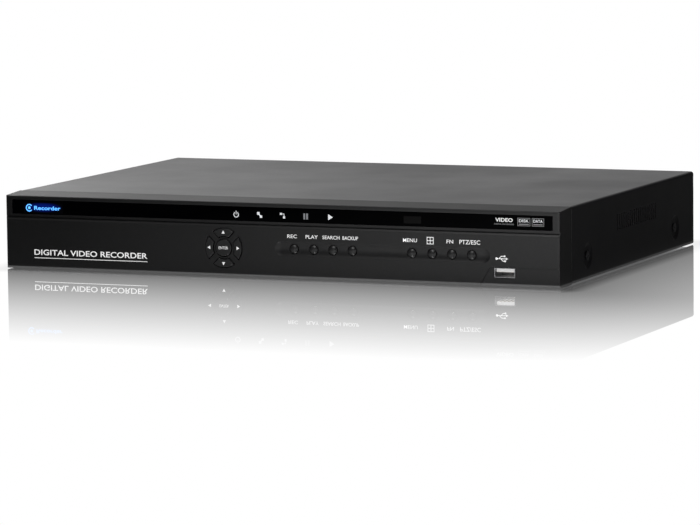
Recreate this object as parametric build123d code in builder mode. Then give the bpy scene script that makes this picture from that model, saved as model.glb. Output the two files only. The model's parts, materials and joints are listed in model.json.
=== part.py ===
"""Desktop eight-channel digital video recorder.

The case stands on four rubber feet, faces -Y and is symmetric about X = 0.
Z = 0 is the surface under the feet. All lengths are millimetres.
"""
import os
from math import cos, radians, sin, sqrt

from build123d import *

os.makedirs("parts", exist_ok=True)

# Case
body_width = 365.0
body_depth = 254.0
body_height = 45.0
foot_height = 2.0
sheet = 1.0              # steel sheet of the tray, cover and rear panel
bezel_depth = 20.5
bezel_wall = 2.2
bezel_front_wall = 3.0
joint_gap = 0.5          # visible line between bezel and cover
key_rise = 0.8           # direction keys stand this far out of the front
jack_reach = 11.0        # BNC jacks stand this far out of the rear

front = key_rise - (body_depth + key_rise + jack_reach) / 2
rear = front + body_depth
joint = front + bezel_depth
half = body_width / 2
floor = foot_height
roof = foot_height + body_height
skin = half - sheet      # inner face of the cover's side walls
panel_out = rear - sheet             # rear panel, under the cover's rear lip
panel_in = panel_out - sheet

# Front controls
window_half = 178.1
window_low, window_high = floor + 32.5, floor + 41.4
window_depth = 1.8
pad_x, pad_z = -34.6, floor + 15.8
pad_outer, pad_inner = 11.9, 7.1
pad_band = 2.2           # half the width of the diagonal bars between direction keys
enter_radius = 5.2
key_gap = 0.4
key_z = floor + 16.4
key_radius = 2.7
key_places = {
    "key_record": 11.4, "key_play": 24.3, "key_search": 36.9, "key_backup": 49.5,
    "key_menu": 88.1, "key_split": 101.1, "key_function": 113.7, "key_escape": 126.4,
}
pad_places = {"key_right": 0, "key_up": 90, "key_left": 180, "key_down": 270}
key_travel = 0.5
flange_from = bezel_front_wall + 0.1     # key flanges, measured back from the front face
flange_to = flange_from + 0.8
stem_tip = flange_to + 1.0
switch_tip = stem_tip + key_travel + 0.02
switch_face = switch_tip + 0.5
pcb = 1.6
keypad_face = switch_face + 3.5
scoop_low, scoop_high = floor + 12.0, floor + 21.0
scoop_left, scoop_right = -0.8, 138.6
scoop_depth = 1.3
lamp_places = (-26.2, -10.7, 4.4, 19.7, 35.7)
lamp_z = floor + 36.5
receiver_x = 88.9
usb_x, usb_z = 147.5, floor + 6.5
usb_width, usb_height, usb_length = 13.1, 5.7, 14.0
bay_top, bay_depth = floor + 10.1, 0.6
keypad_pegs = [(-54.0, floor + 6.0), (-54.0, floor + 37.0), (62.0, floor + 6.0), (160.0, floor + 36.0)]

# Fasteners
screw_r = 1.5
screw_hole = 1.55
pass_hole = 1.7
head_r, head_h = 2.8, 1.0

# Inside
board_low = floor + sheet + 4.0
board_top = board_low + pcb
board_left, board_right, board_front, board_back = -126.0, 174.0, 2.0, 117.0
board_fixings = [(x, y) for x in (-118.0, 50.0, 168.0) for y in (10.0, 95.0)]
drive_left, drive_right, drive_front, drive_back = -172.0, -25.0, -104.0, -2.4
drive_low, drive_top = floor + sheet + 2.0, floor + sheet + 28.1
drive_fixings = [(x, y) for x in (-156.0, -79.8) for y in (-100.0, -6.4)]
foot_places = [(x, y) for x in (-150.0, 150.0) for y in (front + 46.0, rear - 28.0)]

# Rear sockets
bnc_xs = [-62.0 - 17.0 * i for i in range(4)]
bnc_zs = [floor + 13.8, floor + 32.0]
bnc_places = [(x, z) for x in bnc_xs for z in bnc_zs]
bnc_tip = rear + jack_reach
rca_places = [(x, floor + z) for x in (-20.0, -34.0, -48.0) for z in (14.5, 29.5)]
vga_x, vga_z, vga_pitch = 15.0, floor + 14.0, 24.99
hdmi_x, lan_x, rear_usb_x = 45.0, 68.0, 90.0
terminal_x, terminal_ways, terminal_pitch = 118.0, 6, 5.0
switch_x, switch_z, switch_tilt = 145.0, floor + 24.0, 10.0
dc_x, dc_z = 163.0, floor + 12.6
fan_x, fan_z, fan_size, fan_depth = -152.0, floor + 22.0, 40.0, 10.0
fan_bore = 18.6
fan_fixings = [(fan_x + dx, fan_z + dz) for dx in (-16.0, 16.0) for dz in (-16.0, 16.0)]
tab_places = (-126.0, 15.0, 155.0)
tab_low, tab_half = floor + 35.0, 5.0
lip_low = floor + 41.6
tab_screw_z = floor + 38.6


# Helpers
def slab(x0, x1, y0, y1, z0, z1, mode=Mode.ADD):
    """Box given by its limits."""
    with Locations(((x0 + x1) / 2, (y0 + y1) / 2, (z0 + z1) / 2)):
        Box(x1 - x0, y1 - y0, z1 - z0, mode=mode)


def rod_y(x, z, radius, y0, y1, mode=Mode.ADD):
    """Round bar along Y."""
    with Locations(Location((x, (y0 + y1) / 2, z), (90, 0, 0))):
        Cylinder(radius, y1 - y0, mode=mode)


def rod_z(x, y, radius, z0, z1, mode=Mode.ADD):
    """Round bar along Z."""
    with Locations((x, y, (z0 + z1) / 2)):
        Cylinder(radius, z1 - z0, mode=mode)


def rod_x(y, z, radius, x0, x1, mode=Mode.ADD):
    """Round bar along X."""
    with Locations(Location(((x0 + x1) / 2, y, z), (0, 90, 0))):
        Cylinder(radius, x1 - x0, mode=mode)


def upright(y, x=0.0, z=0.0, turn=0.0):
    """Plane facing the front at depth y, its own x axis turned by an angle from +X."""
    way = (cos(radians(turn)), 0, sin(radians(turn)))
    return Plane(origin=(x, y, z), x_dir=way, z_dir=(0, -1, 0))


def save(piece, name):
    """Label a finished piece and write it."""
    piece.part.label = name
    export_step(piece.part, f"parts/{name}.step")


def cross_slot(place, size=3.0, width=0.6, depth=0.6):
    """Cross recess cut into a screw head whose outer face is the place's XY plane."""
    with Locations(place):
        with Locations((0, 0, -depth / 2)):
            Box(size, width, depth, mode=Mode.SUBTRACT)
            Box(width, size, depth, mode=Mode.SUBTRACT)


def screw(place, length, radius=screw_r, head=head_r, rise=head_h):
    """Pan-head screw: the place is the bearing plane under the head, +Z outwards."""
    with Locations(place):
        with Locations((0, 0, rise / 2)):
            Cylinder(head, rise)
        with Locations((0, 0, -length / 2)):
            Cylinder(radius, length)
    cross_slot(place * Location((0, 0, rise)), size=head * 1.1)


def sector(outer, inner, band):
    """Quarter ring about local +x, its two ends parallel to the diagonals."""
    apex = band * sqrt(2)
    Circle(outer)
    Circle(inner, mode=Mode.SUBTRACT)
    Polygon((apex, 0), (apex + outer, outer), (apex + outer, -outer), align=None, mode=Mode.INTERSECT)


# Sheet-metal case
flange_front = joint + 0.4
side_flange_out = half - 2.3
side_flange_in = side_flange_out - sheet
cover_screws_y = (front + 49.8, front + 215.6)
cover_screw_z = floor + 12.7
bezel_fixings = [(-172.0, floor + 10.0), (-110.0, floor + 26.0), (173.0, floor + 12.0), (173.0, floor + 34.0)]

with BuildPart() as chassis_tray:
    plate_top = floor + sheet
    slab(-skin + 0.3, skin - 0.3, flange_front, panel_in, floor, plate_top)
    slab(-178, 178, flange_front, flange_front + sheet, plate_top, floor + 42)
    slab(-128, 178, panel_in - sheet, panel_in, plate_top, floor + 4.5)
    for side in (-1, 1):
        edges = sorted((side * side_flange_in, side * side_flange_out))
        slab(*edges, -104, panel_in - 0.1, plate_top, floor + 20)
        collar = sorted((side * (side_flange_in - 2), side * side_flange_in))
        for y in cover_screws_y:
            rod_x(y, cover_screw_z, 3, *collar)
            rod_x(y, cover_screw_z, screw_hole, min(collar + edges), max(collar + edges), Mode.SUBTRACT)
    for x, y in drive_fixings:
        rod_z(x, y, 5, plate_top, drive_low)
        rod_z(x, y, pass_hole, floor, drive_low, Mode.SUBTRACT)
    for x, y in foot_places:
        rod_z(x, y, screw_hole, floor, plate_top, Mode.SUBTRACT)
    for x, z in bezel_fixings:
        rod_y(x, z, pass_hole, flange_front, flange_front + sheet, Mode.SUBTRACT)
    # Openings in the front wall for the keypad's ribbon and the front socket's leads
    slab(56, 84, flange_front, flange_front + sheet, floor + 20, floor + 33, Mode.SUBTRACT)
    slab(138, 157, flange_front, flange_front + sheet, floor + 4, floor + 12, Mode.SUBTRACT)
    # Two fields of ventilation slots under the circuit board
    with Locations((-40, 60, floor + sheet / 2), (110, 60, floor + sheet / 2)):
        with GridLocations(8, 0, 8, 1):
            Box(3, 50, sheet, mode=Mode.SUBTRACT)
    fillet(chassis_tray.edges().filter_by(Axis.X).group_by(Axis.Z)[0].sort_by(Axis.Y)[0], 0.5)
save(chassis_tray, "chassis_tray")

vent_y, vent_z = front + 140.5, floor + 27.4
vent_count, vent_pitch, vent_width, vent_height = 19, 4.0, 1.8, 9.8
dish_depth, dish_radius, dish_floor = 1.1, 8.0, 5.6
skirt_low = floor - 1.4      # the cover's sides hang a little below the tray

with BuildPart() as top_cover:
    cover_front = joint + joint_gap
    slab(-half, half, cover_front, rear, skirt_low, roof)
    fillet(top_cover.edges().filter_by(Axis.Y).group_by(Axis.Z)[0], 0.8)
    fillet(top_cover.edges().filter_by(Axis.Y).group_by(Axis.Z)[-1], 1.8)
    fillet(top_cover.edges().filter_by(Axis.X).group_by(Axis.Z)[-1].sort_by(Axis.Y)[-1], 1.0)
    slab(-skin, skin, cover_front, panel_out, skirt_low, roof - sheet, Mode.SUBTRACT)
    # The rear lip is a narrow strip with three deeper screw tabs
    slab(-half + sheet, half - sheet, panel_out, rear, skirt_low, tab_low, Mode.SUBTRACT)
    tab_edges = [-half] + [x + s * tab_half for x in tab_places for s in (-1, 1)] + [half]
    for left, right in zip(tab_edges[::2], tab_edges[1::2]):
        slab(left, right, panel_out, rear, tab_low, lip_low, Mode.SUBTRACT)
    for x in tab_places:
        rod_y(x, tab_screw_z, pass_hole, panel_out, rear, Mode.SUBTRACT)
    for side in (-1, 1):
        wall = half - sheet / 2
        with Locations((side * wall, vent_y, vent_z)):
            with GridLocations(0, vent_pitch, 1, vent_count):
                Box(2 * sheet, vent_width, vent_height, mode=Mode.SUBTRACT)
        for y in cover_screws_y:
            inward = Location((side * half, y, cover_screw_z), (0, -90 * side, 0))
            rod_x(y, cover_screw_z, dish_radius + 0.4, *sorted((side * skin, side * (skin - dish_depth))))
            with Locations(inward * Location((0, 0, dish_depth / 2))):
                Cone(dish_radius, dish_floor, dish_depth, mode=Mode.SUBTRACT)
            rod_x(y, cover_screw_z, pass_hole, *sorted((side * 170, side * 190)), Mode.SUBTRACT)
save(top_cover, "top_cover")

with BuildPart() as rear_panel:
    slab(-skin + 0.3, skin - 0.3, panel_in, panel_out, floor, roof - sheet - 0.1)
    thick = (panel_in, panel_out)
    for x, z in bnc_places:
        rod_y(x, z, 4.5, *thick, Mode.SUBTRACT)
    for x, z in rca_places:
        rod_y(x, z, 5.2, *thick, Mode.SUBTRACT)
    slab(vga_x - 10.4, vga_x + 10.4, *thick, vga_z - 6.6, vga_z + 6.6, Mode.SUBTRACT)
    for side in (-1, 1):
        rod_y(vga_x + side * vga_pitch / 2, vga_z, 1.6, *thick, Mode.SUBTRACT)
    slab(hdmi_x - 7.8, hdmi_x + 7.8, *thick, board_top, board_top + 6.4, Mode.SUBTRACT)
    slab(lan_x - 8.3, lan_x + 8.3, *thick, board_top, board_top + 13.8, Mode.SUBTRACT)
    slab(rear_usb_x - 6.9, rear_usb_x + 6.9, *thick, board_top, board_top + 6.3, Mode.SUBTRACT)
    terminal_half = terminal_ways * terminal_pitch / 2
    slab(terminal_x - terminal_half - 0.3, terminal_x + terminal_half + 0.3, *thick,
         board_top, board_top + 13.3, Mode.SUBTRACT)
    slab(switch_x - 6.7, switch_x + 6.7, *thick, switch_z - 9.7, switch_z + 9.7, Mode.SUBTRACT)
    rod_y(dc_x, dc_z, 4.8, *thick, Mode.SUBTRACT)
    for x, z in fan_fixings:
        rod_y(x, z, pass_hole, *thick, Mode.SUBTRACT)
    for x in tab_places:
        rod_y(x, tab_screw_z, screw_hole, *thick, Mode.SUBTRACT)
    # Fan grille: round holes on a square grid, inside the fan's bore
    grille_pitch, grille_hole = 4.0, 1.5
    steps = range(-4, 5)
    for column in steps:
        for row in steps:
            dx, dz = column * grille_pitch, row * grille_pitch
            if sqrt(dx * dx + dz * dz) < fan_bore - 2:
                rod_y(fan_x + dx, fan_z + dz, grille_hole, *thick, Mode.SUBTRACT)
save(rear_panel, "rear_panel")

# Front moulding
wall_in = front + bezel_front_wall
bezel_low = floor - 1.6
groove_low, groove_high, groove_depth = floor + 29.0, floor + 31.5, 1.2

with BuildPart() as front_bezel:
    with BuildSketch(Plane.YZ.offset(-half)):
        with BuildLine():
            Polyline((joint, bezel_low), (front, bezel_low), (front, groove_low),
                     (front + groove_depth, groove_low + 1.7), (front + groove_depth, groove_high),
                     (front, groove_high), (front, roof - 1.2), (joint, roof), close=True)
        make_face()
    extrude(amount=body_width)
    long_edges = front_bezel.edges().filter_by(Axis.X)
    fillet(long_edges.group_by(Axis.Z)[0].sort_by(Axis.Y)[0], 2.0)
    fillet(front_bezel.edges().filter_by(Axis.X).group_by(Axis.Z)[-2].sort_by(Axis.Y)[0], 1.0)
    # Rounded corners seen from above
    with BuildSketch(Plane.XY.offset(bezel_low)):
        with Locations((0, joint)):
            RectangleRounded(body_width, 2 * bezel_depth, 1.4)
    extrude(amount=roof, mode=Mode.INTERSECT)
    # Hollow back
    slab(-half + bezel_wall, half - bezel_wall, wall_in, joint, bezel_low + bezel_wall,
         roof - bezel_wall - 1.2, Mode.SUBTRACT)
    # Lip that the cover slides over
    lip_out, lip_in = skin - 0.2, skin - 1.7
    slab(-lip_out, lip_out, joint - 4, joint + 6, floor + sheet + 0.3, roof - sheet - 0.2)
    slab(-lip_in, lip_in, joint - 4, joint + 6, floor, roof - sheet - 1.7, Mode.SUBTRACT)
    # Pocket for the window strip, with light holes behind it
    slab(-window_half, window_half, front - 1, front + window_depth, window_low, window_high, Mode.SUBTRACT)
    for x in lamp_places:
        rod_y(x, lamp_z, 1.8, front, wall_in, Mode.SUBTRACT)
    slab(receiver_x - 5.6, receiver_x + 5.6, front, wall_in, lamp_z - 2.2, lamp_z + 2.2, Mode.SUBTRACT)
    slab(-169, -144, front, wall_in, lamp_z - 3, lamp_z + 3, Mode.SUBTRACT)
    # Shallow round-bottomed scoop that the round keys stand in
    scoop_half = (scoop_high - scoop_low) / 2
    scoop_r = (scoop_half ** 2 + scoop_depth ** 2) / (2 * scoop_depth)
    scoop_y = front + scoop_depth - scoop_r
    scoop_mid = (scoop_low + scoop_high) / 2
    rod_x(scoop_y, scoop_mid, scoop_r, scoop_left + scoop_half, scoop_right - scoop_half, Mode.SUBTRACT)
    scoop_ends = (scoop_left + scoop_half, scoop_right - scoop_half)
    with Locations(*[(x, scoop_y, scoop_mid) for x in scoop_ends]):
        Sphere(scoop_r, mode=Mode.SUBTRACT)
    for x in key_places.values():
        rod_y(x, key_z, key_radius + key_gap, front, wall_in, Mode.SUBTRACT)
    # Openings of the direction pad
    for turn in pad_places.values():
        with BuildSketch(upright(wall_in, pad_x, pad_z, turn)):
            sector(pad_outer + key_gap, pad_inner - key_gap, pad_band - key_gap)
        extrude(amount=bezel_front_wall, mode=Mode.SUBTRACT)
    rod_y(pad_x, pad_z, enter_radius + key_gap, front, wall_in, Mode.SUBTRACT)
    # Shallow bay round the front socket, open to the right end and the bottom edge
    with BuildSketch(upright(front + bay_depth)):
        with BuildLine():
            FilletPolyline((half + 2, bay_top), (138.5, bay_top), (131.0, bezel_low - 1), radius=2.5)
            Polyline((131.0, bezel_low - 1), (half + 2, bezel_low - 1), (half + 2, bay_top))
        make_face()
    extrude(amount=5, mode=Mode.SUBTRACT)
    slab(usb_x - usb_width / 2 - 0.3, usb_x + usb_width / 2 + 0.3, front, wall_in,
         usb_z - usb_height / 2 - 0.3, usb_z + usb_height / 2 + 0.3, Mode.SUBTRACT)
    # Screw bosses towards the tray's front wall, and pegs for the keypad board
    for x, z in bezel_fixings:
        rod_y(x, z, 3.5, wall_in, flange_front)
        rod_y(x, z, screw_hole, wall_in + 4, flange_front, Mode.SUBTRACT)
    for x, z in keypad_pegs:
        rod_y(x, z, 2.4, wall_in, front + keypad_face)
        rod_y(x, z, 1.3, wall_in, front + keypad_face + pcb + 0.8)
save(front_bezel, "front_bezel")

with BuildPart() as window_strip:
    inset = 0.15
    slab(-window_half + inset, window_half - inset, front + 0.2, front + window_depth,
         window_low + inset, window_high - inset)
    fillet(window_strip.edges().group_by(Axis.Y)[0], 0.25)
save(window_strip, "window_strip")


# Keys
def round_key(name, x):
    """Domed push button, a retaining flange behind the wall, and its stem."""
    top = Plane(origin=(x, front, key_z), x_dir=(1, 0, 0), z_dir=(0, 0, 1))
    with BuildPart() as key:
        with BuildSketch(top):
            with BuildLine():
                ThreePointArc((0, -0.5), (1.4, -0.2), (key_radius, 0.7))
                Polyline((key_radius, 0.7), (key_radius, flange_from), (key_radius + 1, flange_from),
                         (key_radius + 1, flange_to), (1.3, flange_to), (1.3, stem_tip),
                         (0, stem_tip), (0, -0.5))
            make_face()
        revolve(axis=Axis((x, front, key_z), (0, 1, 0)))
    save(key, name)


def pad_key(name, turn):
    """Ring-sector key of the direction pad."""
    with BuildPart() as key:
        with BuildSketch(upright(front + flange_to, pad_x, pad_z, turn)) as cap:
            sector(pad_outer, pad_inner, pad_band)
            fillet(cap.vertices(), 0.5)
        extrude(amount=flange_to + key_rise)
        fillet(key.faces().sort_by(Axis.Y)[0].edges(), 0.45)
        with BuildSketch(upright(front + flange_to, pad_x, pad_z, turn)):
            sector(pad_outer + 1, pad_inner, pad_band)
        extrude(amount=flange_to - flange_from)
        middle = (pad_outer + pad_inner) / 2
        x = pad_x + middle * cos(radians(turn))
        z = pad_z + middle * sin(radians(turn))
        rod_y(x, z, 1.3, front + flange_to, front + stem_tip)
    save(key, name)


for key_name, key_x in key_places.items():
    round_key(key_name, key_x)
for key_name, key_turn in pad_places.items():
    pad_key(key_name, key_turn)

with BuildPart() as key_enter:
    rod_y(pad_x, pad_z, enter_radius, front - key_rise, front + flange_to)
    fillet(key_enter.faces().sort_by(Axis.Y)[0].edges(), 0.5)
    rod_y(pad_x, pad_z, enter_radius + 0.8, front + flange_from, front + flange_to)
    rod_y(pad_x, pad_z, 1.3, front + flange_to, front + stem_tip)
save(key_enter, "key_enter")

# Keypad electronics
pad_middle = (pad_outer + pad_inner) / 2
switch_places = [(x, key_z) for x in key_places.values()] + [(pad_x, pad_z)]
switch_places += [(pad_x + pad_middle * cos(radians(a)), pad_z + pad_middle * sin(radians(a)))
                  for a in pad_places.values()]

with BuildPart() as tact_switches:
    for x, z in switch_places:
        slab(x - 3, x + 3, front + switch_face, front + keypad_face, z - 3, z + 3)
        rod_y(x, z, 1.7, front + switch_tip, front + switch_face)
save(tact_switches, "tact_switches")

with BuildPart() as keypad_board:
    board_bottom, board_head = floor + 2.5, floor + 40.5
    slab(-59, 165, front + keypad_face, front + keypad_face + pcb, board_bottom, board_head)
    slab(usb_x - 7.5, usb_x + 7.5, front + keypad_face, front + keypad_face + pcb,
         board_bottom, usb_z + 3.8, Mode.SUBTRACT)
    for x, z in keypad_pegs:
        rod_y(x, z, 1.5, front + keypad_face, front + keypad_face + pcb, Mode.SUBTRACT)
save(keypad_board, "keypad_board")

with BuildPart() as indicator_lamps:
    for x in lamp_places:
        rod_y(x, lamp_z, 1.5, front + 5.2, front + keypad_face)
        with Locations((x, front + 5.2, lamp_z)):
            Sphere(1.5)
        rod_y(x, lamp_z, 1.9, front + keypad_face - 1, front + keypad_face)
save(indicator_lamps, "indicator_lamps")

with BuildPart() as remote_receiver:
    slab(receiver_x - 5, receiver_x + 5, front + 5.5, front + keypad_face, lamp_z - 3.4, lamp_z + 3.4)
    with Locations((receiver_x, front + 5.5, lamp_z)):
        Sphere(2.0)
save(remote_receiver, "remote_receiver")


def socket_shell(x, z, width, height, y0, y1, wall, open_front):
    """Pressed metal socket shell, closed at the inner end and open at the other."""
    slab(x - width / 2, x + width / 2, y0, y1, z - height / 2, z + height / 2)
    start, stop = (y0, y1 - wall) if open_front else (y0 + wall, y1)
    slab(x - width / 2 + wall, x + width / 2 - wall, start, stop,
         z - height / 2 + wall, z + height / 2 - wall, Mode.SUBTRACT)


usb_mouth = front + bay_depth - 0.2
with BuildPart() as front_usb_shell:
    socket_shell(usb_x, usb_z, usb_width, usb_height, usb_mouth, usb_mouth + usb_length, 0.35, True)
save(front_usb_shell, "front_usb_shell")

rear_usb_z = board_top + usb_height / 2
hdmi_width, hdmi_height = 15.0, 6.0
hdmi_z = board_top + hdmi_height / 2
socket_mouth = panel_out + 0.4
with BuildPart() as socket_tongues:
    slab(usb_x - 5.55, usb_x + 5.55, usb_mouth + 1.5, usb_mouth + usb_length - 0.35, usb_z + 0.4, usb_z + 2.3)
    slab(rear_usb_x - 5.55, rear_usb_x + 5.55, socket_mouth - usb_length + 0.35, socket_mouth - 1.5,
         rear_usb_z + 0.4, rear_usb_z + 2.3)
    slab(hdmi_x - 5.5, hdmi_x + 5.5, socket_mouth - 11.65, socket_mouth - 1.5, hdmi_z - 0.3, hdmi_z + 0.7)
save(socket_tongues, "socket_tongues")

ribbon_x0, ribbon_x1 = 62.0, 78.0
ribbon_high, ribbon_low = floor + 26.0, floor + 20.0
with BuildPart() as keypad_ribbon:
    with BuildSketch(Plane.YZ.offset(ribbon_x0)):
        with BuildLine():
            FilletPolyline((front + keypad_face + pcb, ribbon_high), (-96, ribbon_high), (-74, ribbon_low),
                           (5.5, ribbon_low), (5.5, board_top + 8), radius=(8, 8, 3))
        trace(line_width=1.0)
    extrude(amount=ribbon_x1 - ribbon_x0)
save(keypad_ribbon, "keypad_ribbon")

# Main board
with BuildPart() as main_board:
    slab(board_left, board_right, board_front, board_back, board_low, board_top)
    for x, y in board_fixings:
        rod_z(x, y, pass_hole, board_low, board_top, Mode.SUBTRACT)
save(main_board, "main_board")

with BuildPart() as board_standoffs:
    for x, y in board_fixings:
        with BuildSketch(Plane.XY.offset(floor + sheet)):
            with Locations((x, y)):
                RegularPolygon(3.2, 6)
                Circle(screw_hole, mode=Mode.SUBTRACT)
        extrude(amount=board_low - floor - sheet)
save(board_standoffs, "board_standoffs")

with BuildPart() as board_screws:
    for x, y in board_fixings:
        screw(Location((x, y, board_top)), 5.0)
save(board_screws, "board_screws")

chip_x, chip_y, chip_h = 30.0, 55.0, 1.8
with BuildPart() as board_chips:
    slab(chip_x - 13, chip_x + 13, chip_y - 13, chip_y + 13, board_top, board_top + chip_h)
    for row in range(4):
        y = 25 + 16 * row
        slab(62, 72, y, y + 12, board_top, board_top + 1.1)
    for column in range(4):
        x = -100 + 22 * column
        slab(x, x + 14, 60, 74, board_top, board_top + 1.4)
    slab(88, 100, 70, 82, board_top, board_top + 1.4)
save(board_chips, "board_chips")

with BuildPart() as heat_sink:
    base_z = board_top + chip_h
    slab(chip_x - 18, chip_x + 18, chip_y - 18, chip_y + 18, base_z, base_z + 3)
    with Locations((chip_x, chip_y, base_z + 7.5)):
        with GridLocations(4.3, 0, 9, 1):
            Box(1.3, 36, 9)
save(heat_sink, "heat_sink")

with BuildPart() as capacitors:
    for x in (120.0, 132.0, 144.0):
        for y in (62.0, 76.0):
            rod_z(x, y, 4, board_top, board_top + 11)
    fillet(capacitors.edges().group_by(Axis.Z)[-1], 0.6)
save(capacitors, "capacitors")

with BuildPart() as coin_cell:
    rod_z(-40, 28, 10, board_top, board_top + 3.2)
    fillet(coin_cell.edges().group_by(Axis.Z)[-1], 0.6)
save(coin_cell, "coin_cell")

header_face = 8.0
with BuildPart() as board_headers:
    slab(-13, 1, header_face, 14, board_top, board_top + 8.9)
    slab(3, 17, header_face, 14, board_top, board_top + 8.9)
    slab(ribbon_x0 - 1, ribbon_x1 + 1, 3, header_face, board_top, board_top + 8)
    slab(-122, -115, 76, 84, board_top, board_top + 6)
save(board_headers, "board_headers")

fan_in = panel_in - fan_depth
with BuildPart() as internal_cables:
    for y, x in ((-60.0, 10.0), (-34.0, -6.0)):
        with BuildSketch(Plane.XY.offset(floor + 8)):
            with BuildLine():
                FilletPolyline((drive_right, y), (x, y), (x, header_face), radius=12)
            trace(line_width=1.4)
        extrude(amount=7)
    with BuildSketch(Plane.XY.offset(floor + 8)):
        with BuildLine():
            FilletPolyline((-135, fan_in), (-135, 80), (-122, 80), radius=6)
        trace(line_width=1.2)
    extrude(amount=2.4)
save(internal_cables, "internal_cables")

# Hard disk
with BuildPart() as drive_case:
    slab(drive_left, drive_right, drive_front, drive_back, drive_low, drive_top - 1.5)
    fillet(drive_case.edges().filter_by(Axis.Z), 2.0)
    slab(drive_left + 5, drive_right - 12, drive_front + 5, drive_back - 5,
         drive_low + 6, drive_top - 1.5, Mode.SUBTRACT)
    slab(drive_right - 4, drive_right, -46, -26, drive_low, drive_low + 3.5, Mode.SUBTRACT)
    slab(drive_right - 4, drive_right, -72, -50, drive_low, drive_low + 3.5, Mode.SUBTRACT)
    for x, y in drive_fixings:
        rod_z(x, y, screw_hole, drive_low, drive_low + 4.5, Mode.SUBTRACT)
save(drive_case, "drive_case")

with BuildPart() as drive_lid:
    with BuildSketch(Plane.XY.offset(drive_top - 1.5)):
        with Locations(((drive_left + drive_right) / 2, (drive_front + drive_back) / 2)):
            RectangleRounded(drive_right - drive_left - 4, drive_back - drive_front - 4, 3)
    extrude(amount=0.9)
    with BuildSketch(Plane.XY.offset(drive_top - 0.6)):
        with Locations((drive_left + 52, (drive_front + drive_back) / 2)):
            Circle(46)
    extrude(amount=0.6)
save(drive_lid, "drive_lid")

with BuildPart() as drive_screws:
    for x, y in drive_fixings:
        screw(Location((x, y, floor), (180, 0, 0)), 6.5)
save(drive_screws, "drive_screws")

# Video and audio jacks
bnc_seat, bnc_ring, bnc_front_ring, bnc_bore_depth = 4.25, 4.8, 5.0, 9.0
with BuildPart() as bnc_jacks:
    for x, z in bnc_places:
        slab(x - 6.75, x + 6.75, panel_in - 14, panel_in, z - 6.75, z + 6.75)
        rod_y(x, z, bnc_seat, panel_in, bnc_tip - bnc_front_ring)
        rod_y(x, z, bnc_ring, bnc_tip - bnc_front_ring, bnc_tip)
        with BuildSketch(upright(panel_out + 1.8)):
            with Locations((x, z)):
                RegularPolygon(6.6, 6)
        extrude(amount=1.8)
        rod_z(x, bnc_tip - bnc_front_ring - 1.4, 1.0, z - 5.6, z + 5.6)
        rod_y(x, z, 4.0, bnc_tip - bnc_bore_depth, bnc_tip, Mode.SUBTRACT)
save(bnc_jacks, "bnc_jacks")

bnc_floor = bnc_tip - bnc_bore_depth
with BuildPart() as bnc_insulators:
    for x, z in bnc_places:
        rod_y(x, z, 2.4, bnc_floor, bnc_tip - 1.4)
        rod_y(x, z, 1.1, bnc_floor, bnc_tip - 1.4, Mode.SUBTRACT)
save(bnc_insulators, "bnc_insulators")

dc_bore, dc_pin, dc_mouth = 3.0, 1.05, panel_out + 0.6
dc_floor = dc_mouth - 9.5
with BuildPart() as centre_contacts:
    for x, z in bnc_places:
        rod_y(x, z, 1.05, bnc_floor, bnc_tip - 1.8)
        rod_y(x, z, 0.5, bnc_tip - 6, bnc_tip - 1.8, Mode.SUBTRACT)
    rod_y(dc_x, dc_z, dc_pin, dc_floor, dc_mouth - 0.8)
save(centre_contacts, "centre_contacts")

rca_tip = panel_out + 9.0
with BuildPart() as rca_block:
    slab(-55.0, -13.0, panel_in - 12, panel_in, board_top, floor + 37)
    for x, z in rca_places:
        rod_y(x, z, 5.0, panel_in, panel_out + 1)
        rod_y(x, z, 2.6, panel_out + 1, rca_tip - 0.6)
        rod_y(x, z, 1.65, panel_in - 2, rca_tip - 0.6, Mode.SUBTRACT)
save(rca_block, "rca_block")

with BuildPart() as rca_shells:
    for x, z in rca_places:
        rod_y(x, z, 4.15, panel_out + 1, rca_tip)
        rod_y(x, z, 3.3, panel_out + 1, rca_tip, Mode.SUBTRACT)
save(rca_shells, "rca_shells")


# Data sockets
def dee(sketch, top, height):
    """Outline of a D-shaped connector, wider at the top."""
    low = top / 2 - 1
    Polygon((-top / 2, height / 2), (top / 2, height / 2), (low, -height / 2),
            (-low, -height / 2), align=None)
    fillet(sketch.vertices(), 1.3)


vga_flange = panel_out + 0.8
vga_tip = vga_flange + 5.8
with BuildPart() as vga_port:
    slab(vga_x - 10, vga_x + 10, 108, panel_in, board_top, vga_z + 6.3)
    slab(vga_x - 10, vga_x + 10, panel_in, panel_out, vga_z - 6.3, vga_z + 6.3)
    slab(vga_x - 15.4, vga_x + 15.4, panel_out, vga_flange, vga_z - 6.25, vga_z + 6.25)
    with BuildSketch(upright(vga_tip, vga_x, vga_z)) as outline:
        dee(outline, 16.9, 8.4)
    extrude(amount=5.8)
    with BuildSketch(upright(vga_tip, vga_x, vga_z)) as outline:
        dee(outline, 15.9, 7.4)
    extrude(amount=5.8, mode=Mode.SUBTRACT)
    for side in (-1, 1):
        rod_y(vga_x + side * vga_pitch / 2, vga_z, 1.5, panel_out, vga_flange, Mode.SUBTRACT)
save(vga_port, "vga_port")

with BuildPart() as vga_insert:
    with BuildSketch(upright(vga_tip - 0.6, vga_x, vga_z)) as outline:
        dee(outline, 15.6, 7.1)
        for row, shift in ((1.98, 1.1), (0, 0), (-1.98, 1.1)):
            with Locations((shift - 0.55, row)):
                with GridLocations(2.29, 0, 5, 1):
                    Circle(0.5, mode=Mode.SUBTRACT)
    extrude(amount=5.2)
save(vga_insert, "vga_insert")

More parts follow.
